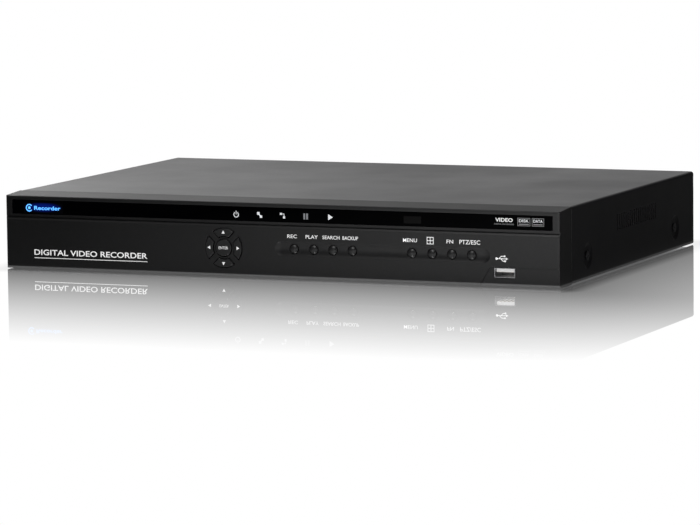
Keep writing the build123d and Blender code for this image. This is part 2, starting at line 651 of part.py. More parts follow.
with BuildPart() as vga_jackscrews:
    for side in (-1, 1):
        x = vga_x + side * vga_pitch / 2
        with BuildSketch(upright(vga_flange + 5)):
            with Locations((x, vga_z)):
                RegularPolygon(2.75, 6)
        extrude(amount=5)
        rod_y(x, vga_z, 1.4, 117, vga_flange)
        rod_y(x, vga_z, 1.42, vga_flange + 1, vga_flange + 5, Mode.SUBTRACT)
save(vga_jackscrews, "vga_jackscrews")

with BuildPart() as hdmi_port:
    socket_shell(hdmi_x, hdmi_z, hdmi_width, hdmi_height, socket_mouth - 12, socket_mouth, 0.35, False)
save(hdmi_port, "hdmi_port")

with BuildPart() as rear_usb_port:
    socket_shell(rear_usb_x, rear_usb_z, usb_width, usb_height,
                 socket_mouth - usb_length, socket_mouth, 0.35, False)
save(rear_usb_port, "rear_usb_port")

lan_half, lan_depth = 5.95, 12.0
with BuildPart() as lan_port:
    slab(lan_x - 8, lan_x + 8, 104.5, socket_mouth, board_top, board_top + 13.5)
    slab(lan_x - lan_half, lan_x + lan_half, socket_mouth - lan_depth, socket_mouth,
         board_top + 4.2, board_top + 11.2, Mode.SUBTRACT)
    slab(lan_x - 3, lan_x + 3, socket_mouth - lan_depth, socket_mouth,
         board_top + 2.6, board_top + 4.2, Mode.SUBTRACT)
    slab(lan_x - 2, lan_x + 2, socket_mouth - lan_depth, socket_mouth,
         board_top + 1.4, board_top + 2.6, Mode.SUBTRACT)
save(lan_port, "lan_port")

terminal_face = panel_out + 4.0
terminal_xs = [terminal_x + terminal_pitch * (i - (terminal_ways - 1) / 2) for i in range(terminal_ways)]
with BuildPart() as terminal_block:
    slab(terminal_x - terminal_half, terminal_x + terminal_half, 108, terminal_face,
         board_top, board_top + 13)
    chamfer(terminal_block.edges().filter_by(Axis.X).group_by(Axis.Z)[-1].sort_by(Axis.Y)[-1], 1.0)
    for x in terminal_xs:
        slab(x - 1.7, x + 1.7, terminal_face - 7, terminal_face,
             board_top + 1.5, board_top + 5.3, Mode.SUBTRACT)
        rod_y(x, board_top + 9, 1.9, terminal_face - 3, terminal_face, Mode.SUBTRACT)
save(terminal_block, "terminal_block")

with BuildPart() as terminal_screws:
    for x in terminal_xs:
        rod_y(x, board_top + 9, 1.8, terminal_face - 3, terminal_face - 0.8)
        slab(x - 2, x + 2, terminal_face - 1.5, terminal_face,
             board_top + 8.7, board_top + 9.3, Mode.SUBTRACT)
save(terminal_screws, "terminal_screws")

with BuildPart() as dc_jack:
    slab(dc_x - 4.5, dc_x + 4.5, 106, panel_in, board_top, board_top + 11)
    rod_y(dc_x, dc_z, 4.5, panel_in, dc_mouth)
    rod_y(dc_x, dc_z, dc_bore, dc_floor, dc_mouth, Mode.SUBTRACT)
save(dc_jack, "dc_jack")

# Power switch
pivot_y = panel_out - 2.0
rocker_half_width, rocker_half = 5.0, 7.6
pin_radius, pin_hole = 0.8, 0.85
with BuildPart() as switch_frame:
    slab(switch_x - 6.4, switch_x + 6.4, panel_in - 9, panel_out, switch_z - 9.4, switch_z + 9.4)
    slab(switch_x - 7.6, switch_x + 7.6, panel_out, panel_out + 2, switch_z - 10.6, switch_z + 10.6)
    fillet(switch_frame.faces().sort_by(Axis.Y)[-1].edges(), 0.7)
    slab(switch_x - 5.2, switch_x + 5.2, pivot_y - 6, panel_out + 2,
         switch_z - 8.7, switch_z + 8.7, Mode.SUBTRACT)
    rod_x(pivot_y, switch_z, pin_hole, switch_x - 6.2, switch_x + 6.2, Mode.SUBTRACT)
save(switch_frame, "switch_frame")

tilt = radians(switch_tilt)
with BuildPart() as power_rocker:
    tilted = Plane(origin=(switch_x + rocker_half_width, pivot_y, switch_z),
                   x_dir=(0, -sin(tilt), cos(tilt)), z_dir=(-1, 0, 0))
    with BuildSketch(tilted):
        with BuildLine():
            Polyline((0, 2.8), (rocker_half, 5.2), (rocker_half, 0.5), (3.0, -2.6), (-3.0, -2.6),
                     (-rocker_half, 0.5), (-rocker_half, 5.2), (0, 2.8))
        make_face()
    extrude(amount=2 * rocker_half_width)
    rod_x(pivot_y, switch_z, pin_radius, switch_x - 5.9, switch_x + 5.9)
save(power_rocker, "power_rocker")

# Fan
fan_hub, blade_count = 9.0, 7
with BuildPart() as fan_frame:
    slab(fan_x - fan_size / 2, fan_x + fan_size / 2, fan_in, panel_in,
         fan_z - fan_size / 2, fan_z + fan_size / 2)
    fillet(fan_frame.edges().filter_by(Axis.Y), 2.5)
    rod_y(fan_x, fan_z, fan_bore, fan_in, panel_in, Mode.SUBTRACT)
    rod_y(fan_x, fan_z, fan_hub, fan_in, fan_in + 2)
    for turn in (45, 135):
        with BuildSketch(upright(fan_in + 1.6, fan_x, fan_z, turn)):
            Rectangle(2 * fan_bore + 1, 2.2)
        extrude(amount=1.6)
    rod_y(fan_x, fan_z, 1.05, fan_in + 0.4, fan_in + 2, Mode.SUBTRACT)
    for x, z in fan_fixings:
        rod_y(x, z, screw_hole, fan_in, panel_in, Mode.SUBTRACT)
save(fan_frame, "fan_frame")

with BuildPart() as fan_rotor:
    rod_y(fan_x, fan_z, fan_hub, fan_in + 2.3, panel_in - 0.9)
    rod_y(fan_x, fan_z, 1.0, fan_in + 0.6, fan_in + 2.3)
    for blade in range(blade_count):
        turn = radians(360 / blade_count * blade)
        way = (cos(turn), 0, sin(turn))
        root = (fan_x + 8 * way[0], (fan_in + panel_in) / 2 + 0.7, fan_z + 8 * way[2])
        with BuildSketch(Plane(origin=root, x_dir=(0, 1, 0), z_dir=way)):
            Rectangle(7.0, 1.0, rotation=50)
        extrude(amount=9.8)
save(fan_rotor, "fan_rotor")

with BuildPart() as fan_screws:
    for x, z in fan_fixings:
        screw(Location((x, panel_out, z), (-90, 0, 0)), 9.0)
save(fan_screws, "fan_screws")

# Feet and case screws
foot_top, foot_bottom, foot_well, well_depth = 9.0, 8.6, 4.2, 1.2
with BuildPart() as rubber_feet:
    for x, y in foot_places:
        with Locations((x, y, foot_height / 2)):
            Cone(foot_bottom, foot_top, foot_height)
    fillet(rubber_feet.edges().group_by(Axis.Z)[0], 0.5)
    for x, y in foot_places:
        rod_z(x, y, foot_well, 0, well_depth, Mode.SUBTRACT)
        rod_z(x, y, pass_hole, 0, foot_height, Mode.SUBTRACT)
save(rubber_feet, "rubber_feet")

with BuildPart() as foot_screws:
    for x, y in foot_places:
        screw(Location((x, y, well_depth), (180, 0, 0)), 3.4, head=3.2, rise=0.9)
save(foot_screws, "foot_screws")

with BuildPart() as cover_screws:
    for side in (-1, 1):
        for y in cover_screws_y:
            screw(Location((side * (half - dish_depth), y, cover_screw_z), (0, 90 * side, 0)), 5.5)
    for x in tab_places:
        screw(Location((x, rear, tab_screw_z), (-90, 0, 0)), 5.5)
save(cover_screws, "cover_screws")

with BuildPart() as bezel_screws:
    for x, z in bezel_fixings:
        screw(Location((x, flange_front + sheet, z), (-90, 0, 0)), 7.0)
save(bezel_screws, "bezel_screws")
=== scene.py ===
import json
from math import pi, radians

import bmesh
import bpy
import numpy as np
from mathutils import Matrix, Vector


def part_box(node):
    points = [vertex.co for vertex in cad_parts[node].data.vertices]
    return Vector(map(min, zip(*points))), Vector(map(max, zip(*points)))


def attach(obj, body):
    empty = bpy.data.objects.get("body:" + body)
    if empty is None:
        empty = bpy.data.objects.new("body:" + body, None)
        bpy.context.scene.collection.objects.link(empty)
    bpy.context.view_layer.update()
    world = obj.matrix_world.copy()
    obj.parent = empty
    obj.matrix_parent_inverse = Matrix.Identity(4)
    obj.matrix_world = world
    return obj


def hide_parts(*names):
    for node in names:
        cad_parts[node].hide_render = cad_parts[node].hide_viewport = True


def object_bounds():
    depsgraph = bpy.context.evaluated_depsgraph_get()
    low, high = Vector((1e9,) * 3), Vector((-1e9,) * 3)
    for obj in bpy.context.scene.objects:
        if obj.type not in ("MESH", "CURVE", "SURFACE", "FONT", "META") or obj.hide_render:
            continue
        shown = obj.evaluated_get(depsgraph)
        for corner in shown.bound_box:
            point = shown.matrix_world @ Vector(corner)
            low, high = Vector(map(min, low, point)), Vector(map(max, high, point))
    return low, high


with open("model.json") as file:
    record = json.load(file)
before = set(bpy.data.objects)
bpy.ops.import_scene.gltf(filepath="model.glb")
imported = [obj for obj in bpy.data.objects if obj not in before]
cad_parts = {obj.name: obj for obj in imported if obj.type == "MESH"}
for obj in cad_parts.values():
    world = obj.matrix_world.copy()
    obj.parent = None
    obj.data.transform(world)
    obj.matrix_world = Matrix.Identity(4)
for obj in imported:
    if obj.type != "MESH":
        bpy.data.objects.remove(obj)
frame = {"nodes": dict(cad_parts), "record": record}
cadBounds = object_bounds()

mm = 0.001
nodes = frame["nodes"]
case = "recorder"            # the body of everything that stays still


def span(node):
    # lowest and highest corner of a CAD node, in millimetres
    low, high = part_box(node)
    return np.array(low) / mm, np.array(high) / mm


def middle(node):
    low, high = span(node)
    return (low + high) / 2


# Lines that the pieces are placed by, in millimetres
frontFace = span("front_bezel")[0][1]
windowFace = span("window_strip")[0][1]
rearFace = span("rear_panel")[1][1]
underside = span("chassis_tray")[0][2]
skirt = span("front_bezel")[0][2]            # lowest line of the front and the cover


# Shader writing
class Value:
    # wraps an output socket, so that plain arithmetic writes Math nodes
    def __init__(self, finish, socket):
        self.finish, self.socket = finish, socket

    def __add__(self, other):
        return self.finish.maths("ADD", self, other)

    def __sub__(self, other):
        return self.finish.maths("SUBTRACT", self, other)

    def __rsub__(self, other):
        return self.finish.maths("SUBTRACT", other, self)

    def __mul__(self, other):
        return self.finish.maths("MULTIPLY", self, other)

    def __truediv__(self, other):
        return self.finish.maths("DIVIDE", self, other)

    def __pow__(self, other):
        return self.finish.maths("POWER", self, other)

    __radd__ = __add__
    __rmul__ = __mul__


class Finish:
    # one material, or the world, and the nodes that make it
    def __init__(self, name, owner=None):
        self.owner = owner or bpy.data.materials.new(name)
        self.owner.use_nodes = True
        self.tree = self.owner.node_tree
        self.tree.nodes.clear()

    def add(self, kind, settings=None, sockets=None, output=0):
        node = self.tree.nodes.new("ShaderNode" + kind)
        for key, value in (settings or {}).items():
            setattr(node, key, value)
        for key, value in (sockets or {}).items():
            if isinstance(value, Value):
                self.tree.links.new(value.socket, node.inputs[key])
            else:
                node.inputs[key].default_value = value
        return Value(self, node.outputs[output]) if len(node.outputs) else None

    def maths(self, operation, first, second=0.0):
        return self.add("Math", {"operation": operation}, {0: first, 1: second})

    def where(self, scale=(1, 1, 1)):
        # object coordinates in metres, stretched
        place = self.add("TexCoord", output="Object")
        return self.add("Mapping", None, {"Vector": place, "Scale": scale})

    def axis(self, name):
        # one object coordinate, in metres
        return self.add("SeparateXYZ", None, {0: self.add("TexCoord", output="Object")}, output=name)

    def noise(self, place, scale, detail=2.0, rough=0.5):
        sockets = {"Vector": place, "Scale": scale, "Detail": detail, "Roughness": rough}
        return self.add("TexNoise", None, sockets)

    def between(self, value, low, high, toLow=0.0, toHigh=1.0):
        return self.add("MapRange", {"clamp": True}, {"Value": value, 1: low, 2: high, 3: toLow, 4: toHigh})

    def blend(self, mask, first, second):
        # mix of two colours, each a link or three numbers
        pair = [c if isinstance(c, Value) else (*c, 1) for c in (first, second)]
        return self.add("Mix", {"data_type": "RGBA"}, {0: mask, 6: pair[0], 7: pair[1]}, output=2)

    def relief(self, height, strength, distance, edge=0.0):
        sockets = {"Height": height, "Strength": strength, "Distance": distance}
        if edge:
            sockets["Normal"] = self.add("Bevel", {"samples": 6}, {"Radius": edge})
        return self.add("Bump", None, sockets)

    def skin(self, **sockets):
        # the Principled shader and the output, its sockets by short names
        names = {"base": "Base Color", "rough": "Roughness", "metal": "Metallic", "normal": "Normal",
                 "glow": "Emission Color", "glowPower": "Emission Strength", "level": "Specular IOR Level"}
        values = {}
        for key, value in sockets.items():
            if key in ("base", "glow") and not isinstance(value, Value):
                value = (*value, 1)
            values[names[key]] = value
        shader = self.add("BsdfPrincipled", None, values)
        self.add("OutputMaterial", None, {"Surface": shader})
        return self.owner


# Finishes
coverPaint = {"dark": (0.0052, 0.0052, 0.0062), "light": (0.0075, 0.0075, 0.0090), "rough": 0.36, "level": 0.30,
              "grain": 1500, "cloud": 14, "speck": 5200, "relief": 0.10, "edge": 0.5 * mm, "dusty": 0.004}
# painted highlight along the cover's lower edge: its colour, the height it fills over the skirt and its fade
coverLitEdge = {"litEdge": (0.17, 0.17, 0.172), "litEdgeHigh": 1.5, "litEdgeFade": 0.7}
rearPaint = dict(coverPaint, rough=0.46, dark=(0.014, 0.014, 0.016), light=(0.020, 0.020, 0.023))


def paintLitEdge(f, base, settings):
    # painted highlight along the lower edge of the case, for the light its bottom edge catches: its own pale colour
    # up to a set height over the skirt, none a set length further up
    low = skirt + settings["litEdgeHigh"]
    mask = f.between(f.axis("Z"), low * mm, (low + settings["litEdgeFade"]) * mm, 1, 0)
    return f.blend(mask, base, settings["litEdge"])


def makeCoverPaint(name, settings):
    # powder coat: orange-peel relief, cloudy colour and gloss, a trace of dust, painted highlight along the lower
    # edge
    f = Finish(name)
    place = f.where()
    grain = f.noise(place, settings["grain"], 3.0, 0.6)
    cloud = f.noise(place, settings["cloud"], 3.0)
    dust = f.between(f.noise(place, settings["speck"], 1.0), 0.72, 0.80) * settings["dusty"]
    base = f.blend(f.between(cloud, 0.3, 0.7), settings["dark"], settings["light"])
    base = f.blend(dust, base, (0.5, 0.5, 0.5))
    if "litEdge" in settings:
        base = paintLitEdge(f, base, settings)
    rough = settings["rough"] + 0.08 * f.between(cloud, 0.3, 0.7) + 0.06 * grain
    return f.skin(base=base, rough=rough, level=settings["level"],
                  normal=f.relief(grain, settings["relief"], 0.15 * mm, settings["edge"]))


mouldedFront = {"dark": (0.0060, 0.0060, 0.0064), "light": (0.0085, 0.0085, 0.0090), "rough": 0.44,
                "level": 0.38, "spark": 2600, "relief": 0.12, "edge": 0.25 * mm}
# painted highlight along the front's lower edge: its colour, the height it fills over the skirt and its fade
frontLitEdge = {"litEdge": (0.19, 0.19, 0.192), "litEdgeHigh": 1.2, "litEdgeFade": 0.7}


def makeMoulding(name, settings):
    # spark-eroded plastic: two sizes of fine pits over a slow change of gloss, painted highlight along the lower
    # edge
    f = Finish(name)
    place = f.where()
    pits = f.noise(place, settings["spark"], 2.0, 0.7)
    coarse = f.noise(place, settings["spark"] / 3, 2.0, 0.5)
    slow = f.noise(place, 9, 2.0)
    height = pits * 0.6 + coarse * 0.4
    base = f.blend(f.between(height, 0.35, 0.65), settings["dark"], settings["light"])
    if "litEdge" in settings:
        base = paintLitEdge(f, base, settings)
    # the top of the front is rougher than its face
    facing = f.add("SeparateXYZ", None, {0: f.add("NewGeometry", output="Normal")}, output="Z")
    rough = settings["rough"] + 0.08 * f.between(slow, 0.3, 0.7) - 0.05 * f.between(height, 0.3, 0.7) \
        + 0.16 * f.between(facing, 0.8, 0.98)
    return f.skin(base=base, rough=rough, level=settings["level"],
                  normal=f.relief(height, settings["relief"], 0.08 * mm, settings["edge"]))


keyFinish = {"dark": (0.009, 0.009, 0.0095), "light": (0.013, 0.013, 0.0135), "rough": 0.40, "level": 0.42,
             "spark": 2600, "relief": 0.02, "edge": 0.2 * mm}
windowGloss = {"colour": (0.0006, 0.0006, 0.0009), "haze": (0.0012, 0.0012, 0.0016), "wipe": 30, "rough": 0.05,
               "level": 0.008}


def makeWindowGloss():
    # polished acrylic: nearly black, with a trace of wiping haze
    f = Finish("windowGloss")
    wipe = f.noise(f.where((1, 1, 6)), windowGloss["wipe"], 4.0, 0.6)
    haze = f.between(wipe, 0.45, 0.75)
    base = f.blend(haze, windowGloss["colour"], windowGloss["haze"])
    return f.skin(base=base, rough=windowGloss["rough"] + 0.03 * haze, level=windowGloss["level"])


metal = {"cloud": 120, "darker": 0.78, "roughSpread": 0.12, "depth": 0.05 * mm, "edge": 0.12 * mm}


def makeMetal(name, colour, rough, scale=(1, 1, 1), streak=900, relief=0.06):
    # plated or brushed metal: streaks along the axis with the smallest scale, cloudy tarnish
    f = Finish(name)
    lines = f.noise(f.where(scale), streak, 3.0, 0.6)
    cloud = f.noise(f.where(), metal["cloud"], 3.0)
    darker = tuple(metal["darker"] * c for c in colour)
    base = f.blend(f.between(lines * 0.5 + cloud * 0.5, 0.35, 0.65), darker, colour)
    return f.skin(base=base, metal=1.0, rough=rough + metal["roughSpread"] * f.between(lines, 0.3, 0.7),
                  normal=f.relief(lines, relief, metal["depth"], metal["edge"]))


zinc = {"dark": (0.42, 0.43, 0.44), "light": (0.56, 0.57, 0.58), "crystal": 160.0, "streak": 1600, "stretch": 0.02,
        "rough": 0.30, "relief": 0.08, "depth": 0.05 * mm, "edge": 0.3 * mm}


def makeZincSheet():
    # galvanised steel: spangle of flat crystals under fine rolling streaks
    f = Finish("zincSheet")
    crystal = f.add("TexVoronoi", None, {"Vector": f.where(), "Scale": zinc["crystal"]}, output="Color")
    shade = f.add("SeparateColor", None, {"Color": crystal})
    lines = f.noise(f.where((1, zinc["stretch"], 1)), zinc["streak"], 2.0)
    base = f.blend(shade, zinc["dark"], zinc["light"])
    return f.skin(base=base, metal=1.0, rough=zinc["rough"] + 0.12 * shade + 0.08 * lines,
                  normal=f.relief(lines, zinc["relief"], zinc["depth"], zinc["edge"]))


plastic = {"grain": 1800, "slow": 60, "darker": 0.86, "roughSpread": 0.10, "depth": 0.06 * mm, "edge": 0.15 * mm}


def makePlastic(name, colour, rough=0.45, relief=0.08, level=0.5):
    # moulded plastic with fine relief and a slow change of shade
    f = Finish(name)
    grainy = f.noise(f.where(), plastic["grain"], 2.0, 0.6)
    slow = f.noise(f.where(), plastic["slow"], 2.0)
    darker = tuple(plastic["darker"] * c for c in colour)
    base = f.blend(f.between(slow * 0.5 + grainy * 0.5, 0.35, 0.65), darker, colour)
    return f.skin(base=base, rough=rough + plastic["roughSpread"] * (slow - 0.5), level=level,
                  normal=f.relief(grainy, relief, plastic["depth"], plastic["edge"]))


board = {"mask": (0.010, 0.075, 0.028, 1), "maskToo": (0.012, 0.095, 0.034, 1), "track": (0.03, 0.17, 0.06, 1),
         "tin": (0.62, 0.60, 0.52), "rows": 90.0, "trackWide": 0.03, "pads": 420.0, "padFull": 0.16, "padEnd": 0.20,
         "rough": 0.34, "relief": 0.2, "depth": 0.05 * mm, "edge": 0.1 * mm}


def makeBoard():
    # solder mask over copper: paler tracks in rows, tinned pads as dots
    f = Finish("circuitBoard")
    cells = f.add("TexBrick", {"offset": 0.5}, {
        "Vector": f.where(), "Scale": board["rows"], "Mortar Size": board["trackWide"],
        "Color1": board["mask"], "Color2": board["maskToo"], "Mortar": board["track"]})
    pads = f.add("TexVoronoi", None, {"Vector": f.where(), "Scale": board["pads"]}, output="Distance")
    dots = f.between(pads, board["padFull"], board["padEnd"], 1.0, 0.0)
    base = f.blend(dots, cells, board["tin"])
    return f.skin(base=base, rough=board["rough"] - 0.1 * dots, metal=0.8 * dots,
                  normal=f.relief(dots, board["relief"], board["depth"], board["edge"]))


rubber = {"colour": (0.012, 0.012, 0.012), "dust": (0.05, 0.048, 0.045), "pores": 1500, "rough": 0.72, "level": 0.3,
          "relief": 0.3, "depth": 0.1 * mm, "edge": 0.2 * mm}


def makeRubber():
    # matt rubber with a bloom of dust in its pores
    f = Finish("footRubber")
    pores = f.noise(f.where(), rubber["pores"], 4.0, 0.7)
    dust = f.between(pores, 0.5, 0.8)
    base = f.blend(dust, rubber["colour"], rubber["dust"])
    return f.skin(base=base, rough=rubber["rough"] + 0.15 * dust, level=rubber["level"],
                  normal=f.relief(pores, rubber["relief"], rubber["depth"], rubber["edge"]))


ink = {"mottle": 2200, "thin": 0.9, "rough": 0.5, "roughLit": 0.4}


def makePrint(name, colour, glow=0.0):
    # screen-printed ink: slight mottling; glow is how strongly it shines by itself, and on inks with no lamp behind
    # them it is a painted glow
    f = Finish(name)
    mottle = f.noise(f.where(), ink["mottle"], 2.0)
    thin = tuple(ink["thin"] * c for c in colour)
    base = f.blend(mottle, thin, colour)
    if not glow:
        return f.skin(base=base, rough=ink["rough"] + 0.1 * mottle)
    return f.skin(base=base, rough=ink["roughLit"] + 0.1 * mottle, glow=base, glowPower=glow)


emblem = {"left": -168.6, "ring": 2.35, "line": 0.6, "dot": 0.85, "wordLeft": -162.9, "wordRight": -144.9,
          "height": 2.4, "haloWide": 13.5, "haloHigh": 3.2}


def makeHalo():
    # dim blue light in the acrylic round the lit emblem, falling off with the distance from its middle
    f = Finish("blueHalo")
    haloX = (emblem["left"] + emblem["wordRight"]) / 2 * mm
    haloZ = middle("window_strip")[2] * mm
    across = f.maths("ABSOLUTE", f.axis("X") - haloX) / (emblem["haloWide"] * mm)
    up = f.maths("ABSOLUTE", f.axis("Z") - haloZ) / (emblem["haloHigh"] * mm)
    fade = f.between(across ** 2.0 + up ** 2.0, 0.25, 1.0, 1.0, 0.0) ** 1.5
    grain = f.noise(f.where(), 900, 2.0)
    glow = f.blend(fade * (0.8 + 0.4 * grain), (0.0008, 0.0008, 0.0014), (0.001, 0.008, 0.13))
    return f.skin(base=(0.001, 0.001, 0.0014), rough=windowGloss["rough"], level=windowGloss["level"],
                  glow=glow, glowPower=1.0)


finishes = {
    "coverPaint": makeCoverPaint("coverPaint", {**coverPaint, **coverLitEdge}),
    "rearPaint": makeCoverPaint("rearPaint", rearPaint),
    "mouldedFront": makeMoulding("mouldedFront", {**mouldedFront, **frontLitEdge}),
    "windowGloss": makeWindowGloss(),
    "keySatin": makeMoulding("keySatin", keyFinish),
    "zincSheet": makeZincSheet(),
    "zincScrew": makeMetal("zincScrew", (0.55, 0.55, 0.56), 0.26, (1, 1, 1), 1200),
    "blackScrew": makeMetal("blackScrew", (0.10, 0.10, 0.105), 0.30, (1, 1, 1), 1200),
    "socketSteel": makeMetal("socketSteel", (0.34, 0.34, 0.35), 0.24, (1, 0.1, 1), 900),
    "nickelPlate": makeMetal("nickelPlate", (0.72, 0.70, 0.66), 0.17, (1, 0.1, 1), 900),
    "goldFlash": makeMetal("goldFlash", (0.86, 0.62, 0.25), 0.20),
    "castAlloy": makeMetal("castAlloy", (0.62, 0.63, 0.65), 0.38, (1, 1, 1), 500, 0.2),
    "blackPlastic": makePlastic("blackPlastic", (0.018, 0.018, 0.019)),
    "whitePlastic": makePlastic("whitePlastic", (0.75, 0.74, 0.70), 0.38),
    "greenPlastic": makePlastic("greenPlastic", (0.03, 0.30, 0.10), 0.36),
    "bluePlastic": makePlastic("bluePlastic", (0.02, 0.07, 0.42), 0.36),
    "yellowPlastic": makePlastic("yellowPlastic", (0.78, 0.56, 0.02), 0.34),
    "redPlastic": makePlastic("redPlastic", (0.55, 0.02, 0.02), 0.34),
    "lampResin": makePlastic("lampResin", (0.78, 0.82, 0.86), 0.12, 0.02),
    "receiverResin": makePlastic("receiverResin", (0.0022, 0.0020, 0.0022), 0.15, 0.02, 0.05),
    "circuitBoard": makeBoard(),
    "footRubber": makeRubber(),
    "ribbonSheath": makePlastic("ribbonSheath", (0.42, 0.43, 0.45), 0.5),
    # white print with a painted glow, which makes it brighter than the lighting alone makes it
    "whiteInkPaintedGlow": makePrint("whiteInkPaintedGlow", (0.88, 0.88, 0.88), 0.48),
    "rearInk": makePrint("rearInk", (0.78, 0.78, 0.78)),
    # grey print with a faint painted glow
    "greyInkPaintedGlow": makePrint("greyInkPaintedGlow", (0.30, 0.30, 0.31), 0.12),
    "lampInk": makePrint("lampInk", (0.78, 0.80, 0.82), 0.50),
    # white socket tongue with a painted glow standing for its highlight
    "tongueWhitePaintedGlow": makePrint("tongueWhitePaintedGlow", (0.88, 0.88, 0.87), 0.40),
    "dimInk": makePrint("dimInk", (0.30, 0.31, 0.33), 0.18),
    "blueLight": makePrint("blueLight", (0.10, 0.42, 1.0), 1.5),
    "blueHalo": makeHalo(),
}

nodeFinish = {
    "coverPaint": ["top_cover"],
    "rearPaint": ["rear_panel"],
    "mouldedFront": ["front_bezel"],
    "windowGloss": ["window_strip"],
    "keySatin": [name for name in nodes if name.startswith("key_")],
    "zincSheet": ["chassis_tray", "drive_lid"],
    "zincScrew": ["foot_screws", "bezel_screws", "board_screws", "drive_screws", "terminal_screws"],
    "blackScrew": ["cover_screws", "fan_screws"],
    "socketSteel": ["front_usb_shell"],
    "nickelPlate": ["bnc_jacks", "rca_shells", "vga_port", "vga_jackscrews", "hdmi_port",
                    "lan_port", "rear_usb_port", "coin_cell", "board_standoffs"],
    "goldFlash": ["centre_contacts"],
    "castAlloy": ["drive_case", "heat_sink", "capacitors"],
    "blackPlastic": ["tact_switches", "board_chips", "rca_block", "dc_jack", "switch_frame",
                     "power_rocker", "fan_frame", "fan_rotor"],
    "receiverResin": ["remote_receiver"],
    "whitePlastic": ["bnc_insulators", "board_headers"],
    "tongueWhitePaintedGlow": ["socket_tongues"],
    "greenPlastic": ["terminal_block"],
    "bluePlastic": ["vga_insert"],
    "lampResin": ["indicator_lamps"],
    "circuitBoard": ["main_board", "keypad_board"],
    "footRubber": ["rubber_feet"],
    "ribbonSheath": ["keypad_ribbon", "internal_cables"],
}
for finishName, names in nodeFinish.items():
    for name in names:
        mesh = nodes[name].data
        mesh.materials.clear()
        mesh.materials.append(finishes[finishName])
unfinished = set(nodes) - {name for names in nodeFinish.values() for name in names}
print("finishes on", len(nodes) - len(unfinished), "nodes, without one:", sorted(unfinished))

# Making pieces
inkOut, inkIn = 0.04, 0.03                   # printing stands out of its surface and reaches into it


def bring(obj, finish, body=case):
    # gives a new piece its finish and its body
    obj.data.materials.clear()
    obj.data.materials.append(finishes[finish])
    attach(obj, body)
    return obj


def addObject(name, mesh):
    obj = bpy.data.objects.new(name, mesh)
    bpy.context.scene.collection.objects.link(obj)
    return obj


def solid(name, points, faces, smooth=False):
    # closed mesh from points in millimetres, its doubled points merged and its faces turned outwards
    mesh = bpy.data.meshes.new(name)
    mesh.from_pydata((np.asarray(points) * mm).tolist(), [], faces)
    work = bmesh.new()
    work.from_mesh(mesh)
    bmesh.ops.remove_doubles(work, verts=work.verts, dist=1e-7)
    bmesh.ops.dissolve_degenerate(work, edges=work.edges, dist=1e-8)
    bmesh.ops.recalc_face_normals(work, faces=work.faces)
    work.to_mesh(mesh)
    work.free()
    mesh.polygons.foreach_set("use_smooth", np.full(len(mesh.polygons), smooth))
    if smooth:
        mesh.set_sharp_from_angle(angle=radians(38))
    return addObject(name, mesh)


def gridFaces(rows, columns, start=0):
    # quads of a grid of points, its columns joined into a ring
    u, v = np.meshgrid(np.arange(rows - 1), np.arange(columns), indexing="ij")
    after = (v + 1) % columns
    near, far = u * columns, (u + 1) * columns
    return np.stack([near + v, near + after, far + after, far + v], -1).reshape(-1, 4) + start


def turned(name, profile, places, finish, body=case, steps=40):
    # profile is (radius, depth along Y); each point goes round its place: x + r cos t, y + depth, z + r sin t
    r, depth = np.asarray(profile, float).T
    angle = np.linspace(0, 2 * pi, steps, endpoint=False)
    along = np.repeat(depth[:, None], steps, 1)
    ring = np.stack([r[:, None] * np.cos(angle), along, r[:, None] * np.sin(angle)], -1)
    blocks = np.concatenate([(ring + np.asarray(place)).reshape(-1, 3) for place in places])
    faces = np.concatenate([gridFaces(len(r), steps, i * len(r) * steps) for i in range(len(places))])
    return bring(solid(name, blocks, faces.tolist(), True), finish, body)


def slabFaces(count, start=0):
    # a slab of two layers of count points: both flat sides and the quads round its edge
    ring = np.arange(count)
    after = (ring + 1) % count
    sides = np.stack([ring, after, after + count, ring + count], 1) + start
    return [(ring + start).tolist(), (ring[::-1] + count + start).tolist()] + sides.tolist()


def plates(name, outlines, face, finish, body=case, facing=-1, out=inkOut):
    # thin closed slabs astride the surface at depth face, one for each outline of (x, z) points
    points, faces = [], []
    start = 0
    for outline in outlines:
        flat = np.asarray(outline, float)
        points += [np.insert(flat, 1, depth, axis=1) for depth in (face + facing * out, face - facing * inkIn)]
        faces += slabFaces(len(flat), start)
        start += 2 * len(flat)
    return bring(solid(name, np.concatenate(points), faces), finish, body)


def boxes(name, spans, finish):
    # closed boxes, each given by its lowest and highest corner
    corners = np.array([(i, j, k) for i in (0, 1) for j in (0, 1) for k in (0, 1)])
    quads = np.array([(0, 1, 3, 2), (4, 6, 7, 5), (0, 4, 5, 1), (2, 3, 7, 6), (0, 2, 6, 4), (1, 5, 7, 3)])
    low, high = np.asarray(spans, float).transpose(1, 0, 2)
    points = low[:, None, :] + corners[None] * (high - low)[:, None, :]
    faces = (quads[None] + 8 * np.arange(len(spans))[:, None, None]).reshape(-1, 4)
    return bring(solid(name, points.reshape(-1, 3), faces.tolist()), finish, case)


def rectangle(x0, x1, z0, z1):
    return [(x0, z0), (x1, z0), (x1, z1), (x0, z1)]


def disc(x, z, radius):
    angle = np.linspace(0, 2 * pi, 24, endpoint=False)
    return np.column_stack([x + radius * np.cos(angle), z + radius * np.sin(angle)])


def arcBand(x, z, inner, outer, start, stop, steps=32):
    # outline of a ring's stretch between two angles, in degrees
    angle = np.radians(np.linspace(start, stop, steps))
    ring = np.column_stack([np.cos(angle), np.sin(angle)])
    return np.vstack([ring * outer, ring[::-1] * inner]) + (x, z)


def bar(x0, z0, x1, z1, line):
    # straight stroke between two points
    way = np.array([x1 - x0, z1 - z0], float)
    side = np.array([-way[1], way[0]]) / np.hypot(*way) * line / 2
    first, last = np.array([x0, z0]), np.array([x1, z1])
    return [first - side, last - side, last + side, first + side]


